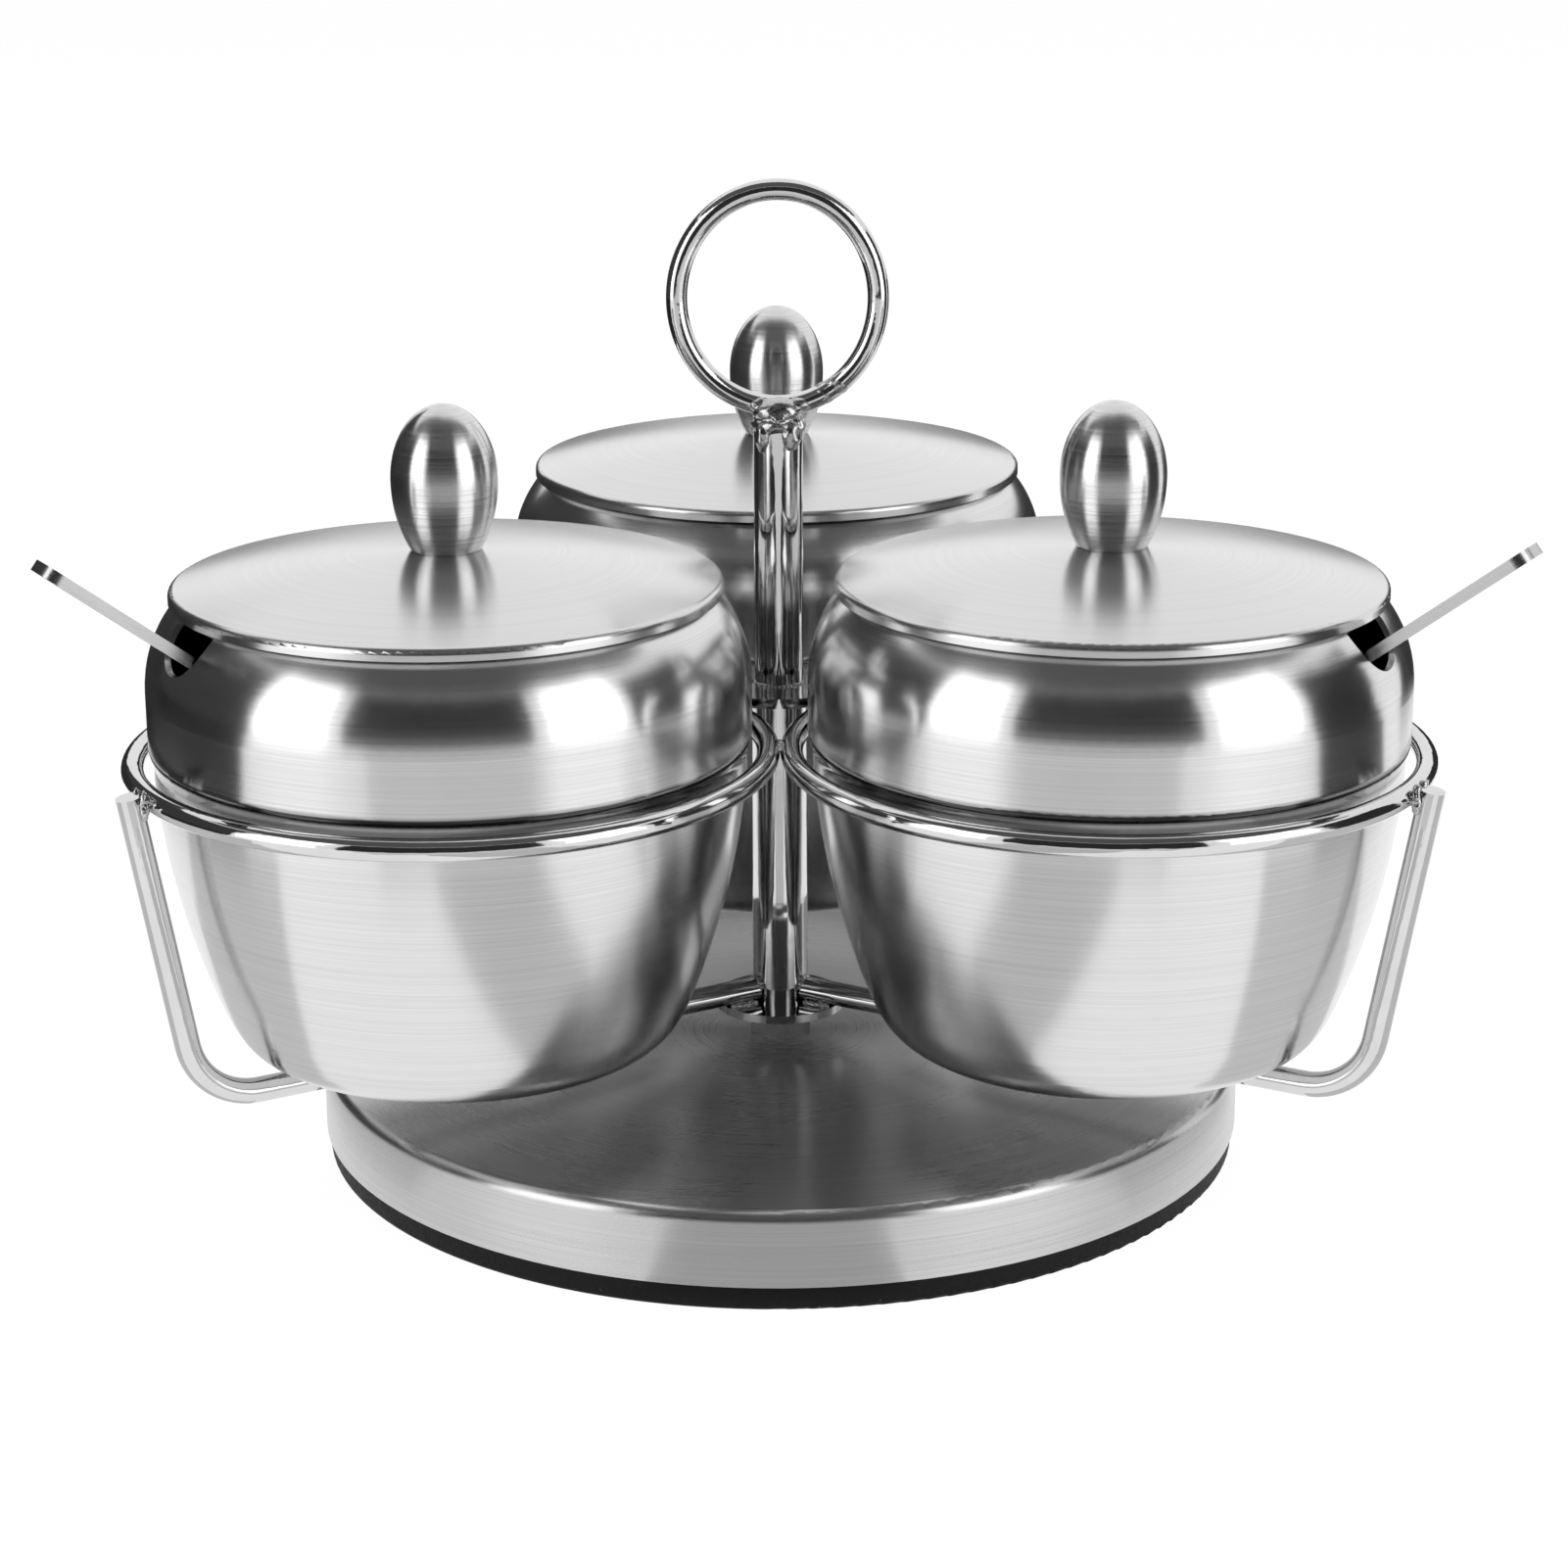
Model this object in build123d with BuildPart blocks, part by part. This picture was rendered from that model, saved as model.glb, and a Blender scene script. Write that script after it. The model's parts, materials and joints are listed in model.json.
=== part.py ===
from build123d import *
import math
import os

# Rotating condiment caddy: a round base, a welded wire rack that turns on it,
# and three lidded pots with spoons. Millimetres, +Z up, origin at the centre of
# the resting face. The rear pot stands at 90 degrees, so the front looks to -Y.

# Base: a spun cap over a rubber ring, closed by a bottom plate
base_radius = 86.3
base_wall_height = 13.5
base_sheet = 0.8
base_edge_radius = 2.0
base_crown_rise = 0.8
foot_height = 4.5
foot_inset = 0.7
foot_width = 10.0
foot_edge_round = 0.8
bottom_sheet = 1.0
bottom_fit = 0.1
stiffener_radius = 26.0
stiffener_sheet = 1.5
pad_margin = 1.0

# Pivot: a bolt from under the base, held to the rack by a nut
bolt_diameter = 6.35
bolt_running_clearance = 0.08
bolt_free_clearance = 0.5
bolt_thread_clearance = 0.05
bolt_head_flats = 11.1
bolt_head_height = 4.2
bolt_engagement = 24.0
nut_flats = 11.1
nut_height = 5.4
nut_chamfer = 0.7
thrust_washer_radius = 9.0
thrust_washer_sheet = 1.0

# Rack: hub washer, column, top plate, hoops, cradle legs and handle ring
hub_washer_radius = 12.2
hub_washer_sheet = 1.5
column_lower_diameter = 10.4
column_upper_diameter = 9.0
column_upper_length = 49.7
top_plate_overlap = 2.0
top_plate_sheet = 1.8
hoop_wire = 4.0
hoop_above_arm = 55.6
hoop_to_pot_clearance = 0.86
hoop_to_hoop_clearance = 0.04
leg_wire = 4.5
leg_lean = 10.0
leg_bend_radius = 13.0
leg_above_hoop = 1.4
arm_to_column_clearance = 0.1
handle_wire = 3.8
handle_half_width = 18.1
handle_half_height = 19.5

# Pot: one drawn shell; insets count in from its barrel, and each height from the one below
pot_sheet = 1.0
pot_seat_clearance = 0.3
pot_barrel_radius = 52.9
pot_foot_inset = 21.6
pot_heel_radius = 10.2
pot_heel_angle = 58.0
pot_haunch_inset = 10.9
pot_haunch_height = 8.9
pot_fold_inset = 0.9
pot_bowl_height = 42.1
pot_neck_height = 2.7
pot_fold_height = 3.8
pot_barrel_height = 9.5
pot_mouth_inset = 6.3
pot_shoulder_height = 15.1
pot_rim_height = 1.7

# Spoon slot in the outward side of the shoulder
slot_width = 15.0
slot_depth = 9.5
slot_sill_inset = 3.35

# Lid, its locating collar, its knob and the screw that holds the knob
lid_overhang = 1.6
lid_sheet = 0.8
lid_crown_radius = 211.0
lid_edge_radius = 1.2
lid_lip_height = 2.0
lid_seat_clearance = 0.3
collar_clearance = 0.9
collar_sheet = 1.0
collar_depth = 4.2
knob_base_radius = 6.15
knob_belly_radius = 9.27
knob_belly_height = 12.4
knob_crown_height = 13.0
knob_bore_depth = 11.0
screw_diameter = 4.0
screw_fit = 0.05
screw_grip = 10.0
screw_head_radius = 3.5
screw_head_height = 2.4

# Spoon: a flat strip that leaves through the slot, with a shallow oval bowl
spoon_thickness = 2.0
spoon_width = 9.0
spoon_neck_width = 7.0
spoon_outside = 32.4
spoon_end_inset = 4.0
spoon_end_height = 8.3
spoon_tip_round = 3.0
spoon_sill_clearance = 0.4
spoon_bowl_length = 40.0
spoon_bowl_width = 24.0
spoon_bowl_sphere = 40.0
spoon_bowl_sheet = 1.5
spoon_neck_overlap = 2.0

# How far each spoon is drawn out of its pot from the middle position, as it was left
spoon_draw = {"rear": 0.0, "left": -1.5, "right": 1.5}

# The pots stand evenly round the column from the rear one on, in degrees from +X
sides = ("rear", "left", "right")
rear_angle = 90.0
station_angles = {side: rear_angle + 360 / len(sides) * i for i, side in enumerate(sides)}

# Places worked out from the sizes above
base_edge_z = foot_height + base_wall_height
base_top_z = base_edge_z + base_crown_rise
stiffener_z = base_top_z - base_sheet - stiffener_sheet
thrust_washer_z = stiffener_z - thrust_washer_sheet
nut_top_z = base_top_z + nut_height
hub_top_z = nut_top_z + hub_washer_sheet
arm_z = hub_top_z + leg_wire / 2
hoop_z = arm_z + hoop_above_arm
top_plate_z = hoop_z + hoop_wire / 2
column_upper_z = top_plate_z + top_plate_sheet
handle_z = column_upper_z + column_upper_length + handle_wire / 2 + handle_half_height
pot_floor_z = arm_z + leg_wire / 2 + pot_seat_clearance
haunch_z = pot_floor_z + pot_haunch_height
neck_z = haunch_z + pot_bowl_height
fold_z = neck_z + pot_neck_height
barrel_z = fold_z + pot_fold_height
shoulder_z = barrel_z + pot_barrel_height
mouth_z = shoulder_z + pot_shoulder_height
rim_z = mouth_z + pot_rim_height
pot_foot_radius = pot_barrel_radius - pot_foot_inset
pot_haunch_radius = pot_barrel_radius - pot_haunch_inset
pot_bowl_radius = pot_barrel_radius - pot_fold_inset
pot_mouth_radius = pot_barrel_radius - pot_mouth_inset
lid_radius = pot_mouth_radius + lid_overhang
foot_radius = base_radius - foot_inset
hoop_mean_radius = pot_barrel_radius + hoop_to_pot_clearance + hoop_wire / 2
hoop_outer_radius = hoop_mean_radius + hoop_wire / 2
station_reach = (hoop_outer_radius + hoop_to_hoop_clearance / 2) / math.sin(math.pi / len(sides))
top_plate_radius = station_reach - hoop_mean_radius + top_plate_overlap
bolt_bore_radius = bolt_diameter / 2 + bolt_thread_clearance
base_pad_radius = stiffener_radius + pad_margin


def lid_drop(radius):
    """How far the lid's outer face has fallen below its middle at this radius."""
    return lid_crown_radius - math.sqrt(lid_crown_radius**2 - radius**2)


lid_top_z = rim_z + lid_seat_clearance + lid_sheet + lid_drop(pot_mouth_radius)


def outward(angle):
    """Unit vector in plan from the column towards a station."""
    return Vector(math.cos(math.radians(angle)), math.sin(math.radians(angle)), 0)


def upright(angle, reach):
    """Upright plane through the column and a station: x outward, y up, origin at reach."""
    away = outward(angle)
    return Plane(origin=away * reach, x_dir=away, z_dir=away.cross(Vector(0, 0, 1)))


def station_axis(angle):
    """Vertical axis of the pot at a station."""
    return Axis(tuple(outward(angle) * station_reach), (0, 0, 1))


def write(solid, label):
    """Name a finished piece and save it under that name."""
    solid.label = label
    export_step(solid, f"parts/{label}.step")


os.makedirs("parts", exist_ok=True)

# Base cap: flat pad at the hub, a faint crown, a rounded edge and a straight wall
cap_half = base_sheet / 2
cap_edge_mid = base_edge_radius - cap_half
crown_run = base_radius - base_edge_radius - base_pad_radius
crown_slope = math.degrees(2 * math.atan2(base_crown_rise, crown_run))
crown_end_radius = base_radius - cap_half - cap_edge_mid * (1 - math.sin(math.radians(crown_slope)))
with BuildPart() as base_cap:
    with BuildSketch(Plane.XZ):
        with BuildLine():
            pad = Line(
                (bolt_diameter / 2 + bolt_free_clearance, base_top_z - cap_half),
                (base_pad_radius, base_top_z - cap_half),
            )
            crown = TangentArc(pad @ 1, (crown_end_radius, base_edge_z - cap_half), tangent=pad % 1)
            edge = JernArc(crown @ 1, crown % 1, cap_edge_mid, -(90 - crown_slope))
            Line(edge @ 1, ((edge @ 1).X, foot_height))
        trace(line_width=base_sheet)
    revolve(axis=Axis.Z)
write(base_cap.part, "base_cap")

# Stiffening disc welded under the pad; the bolt turns in its hole
with BuildPart() as base_stiffener:
    with BuildSketch(Plane.XY.offset(stiffener_z)):
        Circle(stiffener_radius)
        Circle(bolt_diameter / 2 + bolt_running_clearance, mode=Mode.SUBTRACT)
    extrude(amount=stiffener_sheet)
write(base_stiffener.part, "base_stiffener")

# Bottom plate, pressed into the cap just above the rubber ring
with BuildPart() as base_bottom_plate:
    with BuildSketch(Plane.XY.offset(foot_height)):
        Circle(base_radius - base_sheet - bottom_fit)
    extrude(amount=bottom_sheet)
write(base_bottom_plate.part, "base_bottom_plate")

# Rubber ring that the caddy stands on
with BuildPart() as base_foot_ring:
    with BuildSketch():
        Circle(foot_radius)
        Circle(foot_radius - foot_width, mode=Mode.SUBTRACT)
    extrude(amount=foot_height)
    fillet(base_foot_ring.edges().group_by(Axis.Z)[0], radius=foot_edge_round)
write(base_foot_ring.part, "base_foot_ring")

# Pivot bolt: hexagon head inside the base, shank up into the column
with BuildPart() as pivot_bolt:
    with BuildSketch(Plane.XY.offset(thrust_washer_z - bolt_head_height)):
        RegularPolygon(bolt_head_flats / 2, 6, major_radius=False)
    extrude(amount=bolt_head_height)
    with BuildSketch(Plane.XY.offset(thrust_washer_z)):
        Circle(bolt_diameter / 2)
    extrude(amount=hub_top_z + bolt_engagement - thrust_washer_z)
write(pivot_bolt.part, "pivot_bolt")

# Thrust washer between the bolt head and the stiffening disc
with BuildPart() as pivot_washer:
    with BuildSketch(Plane.XY.offset(thrust_washer_z)):
        Circle(thrust_washer_radius)
        Circle(bolt_bore_radius, mode=Mode.SUBTRACT)
    extrude(amount=thrust_washer_sheet)
write(pivot_washer.part, "pivot_washer")

# Nut on the bolt, one corner to the front; its lower face turns on the pad
with BuildPart() as pivot_nut:
    with BuildSketch(Plane.XY.offset(base_top_z)):
        RegularPolygon(nut_flats / 2, 6, major_radius=False, rotation=30)
    extrude(amount=nut_height)
    with BuildSketch(Plane.XZ):
        with Locations((nut_flats / math.sqrt(3), nut_top_z)):
            Triangle(a=nut_chamfer * 2, b=nut_chamfer * 2, c=nut_chamfer * 2, rotation=180)
    revolve(axis=Axis.Z, mode=Mode.SUBTRACT)
    with BuildSketch(Plane.XY.offset(base_top_z)):
        Circle(bolt_bore_radius)
    extrude(amount=nut_height, mode=Mode.SUBTRACT)
write(pivot_nut.part, "pivot_nut")

# Hub washer that carries the three cradle legs
with BuildPart() as hub_washer:
    with BuildSketch(Plane.XY.offset(nut_top_z)):
        Circle(hub_washer_radius)
        Circle(bolt_bore_radius, mode=Mode.SUBTRACT)
    extrude(amount=hub_washer_sheet)
write(hub_washer.part, "hub_washer")

# Lower column tube, from the hub washer to the top plate
with BuildPart() as column_lower:
    with BuildSketch(Plane.XY.offset(hub_top_z)):
        Circle(column_lower_diameter / 2)
        Circle(bolt_bore_radius, mode=Mode.SUBTRACT)
    extrude(amount=top_plate_z - hub_top_z)
write(column_lower.part, "column_lower")

# Top plate, whose rim lies over the inner side of every hoop
with BuildPart() as top_plate:
    with BuildSketch(Plane.XY.offset(top_plate_z)):
        Circle(top_plate_radius)
    extrude(amount=top_plate_sheet)
write(top_plate.part, "top_plate")

# Upper column rod, from the top plate to the handle ring
with BuildPart() as column_upper:
    with BuildSketch(Plane.XY.offset(column_upper_z)):
        Circle(column_upper_diameter / 2)
    extrude(amount=column_upper_length)
write(column_upper.part, "column_upper")

# Handle ring: a closed, slightly tall wire ring standing on the rod
with BuildPart() as handle_ring:
    with BuildLine(Plane.XZ) as ring_path:
        EllipticalCenterArc((0, handle_z), handle_half_width, handle_half_height, 0, arc_size=360)
    with BuildSketch(Plane(origin=(handle_half_width, 0, handle_z), z_dir=(0, 0, 1))):
        Circle(handle_wire / 2)
    sweep(path=ring_path.wires()[0])
write(handle_ring.part, "handle_ring")

for side, angle in station_angles.items():
    away = outward(angle)
    pot_plane = upright(angle, station_reach)
    pot_axis = station_axis(angle)

    # Hoop round the pot, touching the hoops on both sides
    with BuildPart() as hoop:
        with BuildSketch(pot_plane):
            with Locations((hoop_mean_radius, hoop_z)):
                Circle(hoop_wire / 2)
        revolve(axis=pot_axis)
    write(hoop.part, f"hoop_{side}")

    # Cradle leg: down the outside of the hoop, round the bend and in to the column
    lean = math.radians(leg_lean)
    leg_hoop_reach = station_reach + hoop_outer_radius + leg_wire / 2 / math.cos(lean)
    leg_top_reach = leg_hoop_reach + leg_above_hoop * math.tan(lean)
    leg_corner_reach = leg_hoop_reach - hoop_above_arm * math.tan(lean)
    arm_end_reach = column_lower_diameter / 2 + arm_to_column_clearance
    with BuildPart() as cradle_leg:
        with BuildLine(upright(angle, 0)) as leg_path:
            FilletPolyline(
                (leg_top_reach, hoop_z + leg_above_hoop),
                (leg_corner_reach, arm_z),
                (arm_end_reach, arm_z),
                radius=leg_bend_radius,
            )
        with BuildSketch(Plane(origin=leg_path.wires()[0] @ 0, z_dir=leg_path.wires()[0] % 0)):
            Circle(leg_wire / 2)
        sweep(path=leg_path.wires()[0])
    write(cradle_leg.part, f"cradle_leg_{side}")

    # Pot shell: floor, heel, bowl wall, fold, barrel, shoulder and mouth in one sheet
    half = pot_sheet / 2
    with BuildPart() as pot:
        with BuildSketch(pot_plane):
            with BuildLine():
                floor = Line((0, pot_floor_z + half), (pot_foot_radius, pot_floor_z + half))
                heel = JernArc(floor @ 1, floor % 1, pot_heel_radius - half, pot_heel_angle)
                haunch = TangentArc(
                    heel @ 1,
                    (pot_haunch_radius - half, haunch_z),
                    tangent=heel % 1,
                )
                bowl = TangentArc(
                    haunch @ 1,
                    (pot_bowl_radius - half, neck_z),
                    tangent=haunch % 1,
                )
                neck = Line(bowl @ 1, (pot_bowl_radius - half, fold_z))
                fold_middle = (
                    (pot_bowl_radius + pot_barrel_radius) / 2 - half,
                    (fold_z + barrel_z) / 2,
                )
                fold_in = TangentArc(neck @ 1, fold_middle, tangent=neck % 1)
                fold_out = TangentArc(
                    fold_in @ 1,
                    (pot_barrel_radius - half, barrel_z),
                    tangent=fold_in % 1,
                )
                barrel = Line(fold_out @ 1, (pot_barrel_radius - half, shoulder_z))
                shoulder = TangentArc(
                    barrel @ 1,
                    (pot_mouth_radius - half, mouth_z),
                    tangent=barrel % 1,
                )
                Line(shoulder @ 1, (pot_mouth_radius - half, rim_z))
            trace(line_width=pot_sheet)
        revolve(axis=pot_axis)
        slot_round = slot_width / 2
        slot_round_z = rim_z - slot_depth + slot_round
        slot_start = away * (station_reach + pot_mouth_radius - collar_clearance - 4 * pot_sheet)
        with BuildSketch(Plane(origin=slot_start, x_dir=Vector(0, 0, 1), z_dir=away)):
            with Locations((slot_round_z, 0)):
                Circle(slot_round)
            with Locations(((slot_round_z + rim_z + pot_sheet) / 2, 0)):
                Rectangle(rim_z + pot_sheet - slot_round_z, slot_width)
        extrude(amount=pot_barrel_radius, mode=Mode.SUBTRACT)
    write(pot.part, f"pot_{side}")

    # Lid: a crowned disc with a turned-down lip that caps the mouth
    lid_half = lid_sheet / 2
    lid_edge_mid = lid_edge_radius - lid_half
    crown_mid = lid_crown_radius - lid_half
    lid_face_radius = (lid_radius - lid_half - lid_edge_mid) / (1 - lid_edge_mid / crown_mid)
    lid_edge_drop = crown_mid - math.sqrt(crown_mid**2 - lid_face_radius**2)
    lid_lip_z = lid_top_z - lid_drop(lid_radius) - lid_lip_height
    screw_hole_radius = screw_diameter / 2 + screw_fit
    with BuildPart() as lid:
        with BuildSketch(pot_plane):
            with BuildLine():
                face = TangentArc(
                    (screw_hole_radius, lid_top_z - lid_half),
                    (lid_face_radius, lid_top_z - lid_half - lid_edge_drop),
                    tangent=(1, 0),
                )
                lid_slope = math.degrees(math.asin(-(face % 1).Y))
                turn = JernArc(face @ 1, face % 1, lid_edge_mid, -(90 - lid_slope))
                Line(turn @ 1, ((turn @ 1).X, lid_lip_z))
            trace(line_width=lid_sheet)
        revolve(axis=pot_axis)
    write(lid.part, f"lid_{side}")

    # Collar under the lid that keeps it centred in the mouth
    collar_radius = pot_mouth_radius - pot_sheet - collar_clearance
    collar_top_z = lid_top_z - lid_drop(collar_radius) - lid_sheet
    with BuildPart() as lid_collar:
        with BuildSketch(pot_plane):
            with Locations((collar_radius - collar_sheet / 2, collar_top_z - collar_depth / 2)):
                Rectangle(collar_sheet, collar_depth)
        revolve(axis=pot_axis)
    write(lid_collar.part, f"lid_collar_{side}")

    # Knob: a solid egg of two elliptical arcs, bored from below for its screw
    knob_belly_z = lid_top_z + knob_belly_height
    knob_root_turn = math.acos(knob_base_radius / knob_belly_radius)
    knob_root_height = knob_belly_height / math.sin(knob_root_turn)
    knob_root_rise = math.tan(knob_root_turn / 2)
    with BuildPart() as knob:
        with BuildSketch(pot_plane):
            with BuildLine():
                foot_line = Line((0, lid_top_z), (knob_base_radius, lid_top_z))
                flank = Bezier(
                    foot_line @ 1,
                    (knob_belly_radius, knob_belly_z - knob_root_height * knob_root_rise),
                    (knob_belly_radius, knob_belly_z),
                    weights=(1, math.cos(knob_root_turn / 2), 1),
                )
                crown = Bezier(
                    flank @ 1,
                    (knob_belly_radius, knob_belly_z + knob_crown_height),
                    (0, knob_belly_z + knob_crown_height),
                    weights=(1, math.sqrt(2) / 2, 1),
                )
                Line(crown @ 1, foot_line @ 0)
            make_face()
        revolve(axis=pot_axis)
        with BuildSketch(Plane(origin=tuple(away * station_reach + Vector(0, 0, lid_top_z)))):
            Circle(screw_hole_radius)
        extrude(amount=knob_bore_depth, mode=Mode.SUBTRACT)
    write(knob.part, f"knob_{side}")

    # Screw up through the lid into the knob
    screw_seat_z = lid_top_z - lid_sheet - lid_drop(screw_head_radius)
    screw_head_z = screw_seat_z - screw_head_height
    with BuildPart() as knob_screw:
        with BuildSketch(Plane(origin=tuple(away * station_reach + Vector(0, 0, screw_head_z)))):
            Circle(screw_head_radius)
        extrude(amount=screw_head_height)
        with BuildSketch(Plane(origin=tuple(away * station_reach + Vector(0, 0, screw_head_z)))):
            Circle(screw_diameter / 2)
        extrude(amount=lid_top_z + screw_grip - screw_head_z)
    write(knob_screw.part, f"knob_screw_{side}")

    # Spoon: its under face clears the round floor of the slot by the sill clearance
    sill_drop = math.sqrt(slot_round**2 - (spoon_width / 2) ** 2)
    sill_z = slot_round_z - sill_drop + spoon_sill_clearance
    sill_reach = station_reach + pot_barrel_radius - slot_sill_inset
    end_reach = station_reach - (pot_haunch_radius - spoon_end_inset)
    end_z = pot_floor_z + spoon_end_height
    spoon_inside = math.hypot(sill_reach - end_reach, sill_z - end_z)
    along = (away * (sill_reach - end_reach) + Vector(0, 0, sill_z - end_z)) / spoon_inside
    square = (away * (end_z - sill_z) + Vector(0, 0, sill_reach - end_reach)) / spoon_inside
    sill = away * sill_reach + Vector(0, 0, sill_z) + along * spoon_draw[side]
    bowl_middle = along * (spoon_bowl_length / 2 - spoon_inside)
    bowl_half = spoon_bowl_length / 2
    bowl_rise = math.sqrt(spoon_bowl_sphere**2 - bowl_half**2)
    bowl_centre = sill + bowl_middle + square * bowl_rise
    bowl_under = sill + bowl_middle - square * bowl_half
    with BuildPart() as spoon_bowl:
        with Locations(tuple(bowl_centre)):
            Sphere(spoon_bowl_sphere)
            Sphere(spoon_bowl_sphere - spoon_bowl_sheet, mode=Mode.SUBTRACT)
        with BuildSketch(Plane(origin=bowl_under, x_dir=along, z_dir=square)):
            Ellipse(bowl_half, spoon_bowl_width / 2)
        extrude(amount=spoon_bowl_length, mode=Mode.INTERSECT)
    with BuildPart() as spoon:
        with BuildSketch(Plane(origin=sill, x_dir=along, z_dir=square)):
            neck_at = spoon_bowl_length - spoon_neck_overlap - spoon_inside
            with BuildLine():
                Polyline(
                    (spoon_outside, -spoon_width / 2),
                    (spoon_outside, spoon_width / 2),
                    (0, spoon_width / 2),
                    (neck_at, spoon_neck_width / 2),
                    (neck_at, -spoon_neck_width / 2),
                    (0, -spoon_width / 2),
                    close=True,
                )
            make_face()
        extrude(amount=spoon_thickness)
        tip_edges = spoon.edges().filter_by(Axis(tuple(sill), tuple(square)))
        fillet(tip_edges.sort_by(Axis(tuple(sill), tuple(along)))[-2:], radius=spoon_tip_round)
        add(spoon_bowl.part)
    write(spoon.part, f"spoon_{side}")
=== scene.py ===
import json
import math

import bmesh
import bpy
from mathutils import Matrix, Vector, noise


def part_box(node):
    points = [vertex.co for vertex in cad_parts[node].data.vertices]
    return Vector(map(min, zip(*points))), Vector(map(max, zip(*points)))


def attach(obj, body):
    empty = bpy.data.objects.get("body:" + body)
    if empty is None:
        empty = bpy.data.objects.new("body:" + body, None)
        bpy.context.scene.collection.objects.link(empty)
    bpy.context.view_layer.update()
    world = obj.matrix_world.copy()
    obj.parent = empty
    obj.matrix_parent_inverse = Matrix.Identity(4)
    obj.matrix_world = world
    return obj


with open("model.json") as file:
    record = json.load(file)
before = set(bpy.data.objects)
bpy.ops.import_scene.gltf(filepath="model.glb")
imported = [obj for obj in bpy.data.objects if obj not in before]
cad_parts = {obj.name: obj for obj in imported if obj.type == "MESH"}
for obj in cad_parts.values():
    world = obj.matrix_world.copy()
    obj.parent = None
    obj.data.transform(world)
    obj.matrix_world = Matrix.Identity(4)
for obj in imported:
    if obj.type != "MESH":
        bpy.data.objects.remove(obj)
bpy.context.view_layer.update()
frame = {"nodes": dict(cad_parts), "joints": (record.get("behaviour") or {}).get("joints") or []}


# Base cap. A drum 173 mm across, spun from stainless sheet and pressed over a rubber ring.
# It was brushed on a lathe, so fine rings run round its top and wall, and the light fans out
# across them.
mm = 0.001

# Nearly all of a noise's values lie between these two.
noise_low, noise_high = 0.3, 0.7


def add(tree, kind, settings=None, **sockets):
    """Add one shader node; settings are its properties, sockets its values or links."""
    made = tree.nodes.new(kind)
    for key, value in (settings or {}).items():
        setattr(made, key, value)
    for key, value in sockets.items():
        numbered = key[0] == "_" and key[1:].isdigit()
        place = int(key[1:]) if numbered else key.replace("_", " ")
        if isinstance(value, bpy.types.NodeSocket):
            tree.links.new(value, made.inputs[place])
        else:
            made.inputs[place].default_value = value
    return made


def linear(code):
    """Turn an sRGB hex colour into linear RGBA."""
    parts = [int(code[i : i + 2], 16) / 255 for i in (1, 3, 5)]
    return (*[p / 12.92 if p <= 0.04045 else ((p + 0.055) / 1.055) ** 2.4 for p in parts], 1.0)


def empty_material(name):
    """A material with nothing in it, and its node tree."""
    material = bpy.data.materials.new(name)
    material.use_nodes = True
    material.node_tree.nodes.clear()
    return material, material.node_tree


def dress(node, material):
    """Put a material on a piece that keeps its CAD shape."""
    for slot in frame["nodes"][node].material_slots:
        slot.material = material


def rings_round(tree, centre, line_width, line_length):
    """Streaks round an upright axis, and the place measured from that axis."""
    place = add(tree, "ShaderNodeTexCoord")
    from_axis = add(tree, "ShaderNodeVectorMath", {"operation": "SUBTRACT"},
                    _0=place.outputs["Object"], _1=(centre[0], centre[1], 0))
    in_plan = add(tree, "ShaderNodeVectorMath", {"operation": "MULTIPLY"},
                  _0=from_axis.outputs[0], _1=(1 / line_width, 1 / line_width, 0))
    reach = add(tree, "ShaderNodeVectorMath", {"operation": "LENGTH"}, _0=in_plan.outputs[0])
    drawn_out = add(tree, "ShaderNodeVectorMath", {"operation": "MULTIPLY"},
                    _0=from_axis.outputs[0],
                    _1=(1 / line_length, 1 / line_length, 1 / line_width))
    streaks = add(tree, "ShaderNodeTexNoise", {"noise_dimensions": "4D"},
                  Vector=drawn_out.outputs[0], W=reach.outputs["Value"],
                  Scale=1.0, Detail=3.0, Roughness=0.65)
    return streaks.outputs[0], from_axis.outputs[0]


def brushed_steel(name, centre, light, dark, roughness, spread, anisotropy,
                  line_width, line_length, groove_depth):
    """Stainless steel brushed in rings round an upright axis.

    Its gloss varies by spread, with the lines and with where it has been handled. A quarter
    turn from the tangent makes its highlights fan out across the rings.
    """
    handled_patch = 22.2 * mm
    quarter_turn = 0.25
    material, tree = empty_material(name)
    streaks, place = rings_round(tree, centre, line_width, line_length)
    handling = add(tree, "ShaderNodeTexNoise", None, Vector=place,
                   Scale=1 / handled_patch, Detail=3.0, Roughness=0.6)
    tone = add(tree, "ShaderNodeMapRange", None, Value=streaks,
               From_Min=noise_low, From_Max=noise_high)
    colour = add(tree, "ShaderNodeMix", {"data_type": "RGBA"},
                 _0=tone.outputs[0], _6=linear(dark), _7=linear(light))
    worn = add(tree, "ShaderNodeMath", {"operation": "MULTIPLY_ADD"},
               _0=handling.outputs[0], _1=spread, _2=roughness - spread)
    rough = add(tree, "ShaderNodeMath", {"operation": "MULTIPLY_ADD"},
                _0=streaks, _1=spread, _2=worn.outputs[0])
    grooves = add(tree, "ShaderNodeBump", None, Height=streaks,
                  Strength=1.0, Distance=groove_depth)
    round_axis = add(tree, "ShaderNodeTangent", {"direction_type": "RADIAL", "axis": "Z"})
    shader = add(tree, "ShaderNodeBsdfPrincipled", None, Base_Color=colour.outputs[2],
                 Metallic=1.0, Roughness=rough.outputs[0], Anisotropic=anisotropy,
                 Anisotropic_Rotation=quarter_turn, Tangent=round_axis.outputs[0],
                 Normal=grooves.outputs[0])
    add(tree, "ShaderNodeOutputMaterial", Surface=shader.outputs[0])
    return material, tree, shader, place


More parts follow.
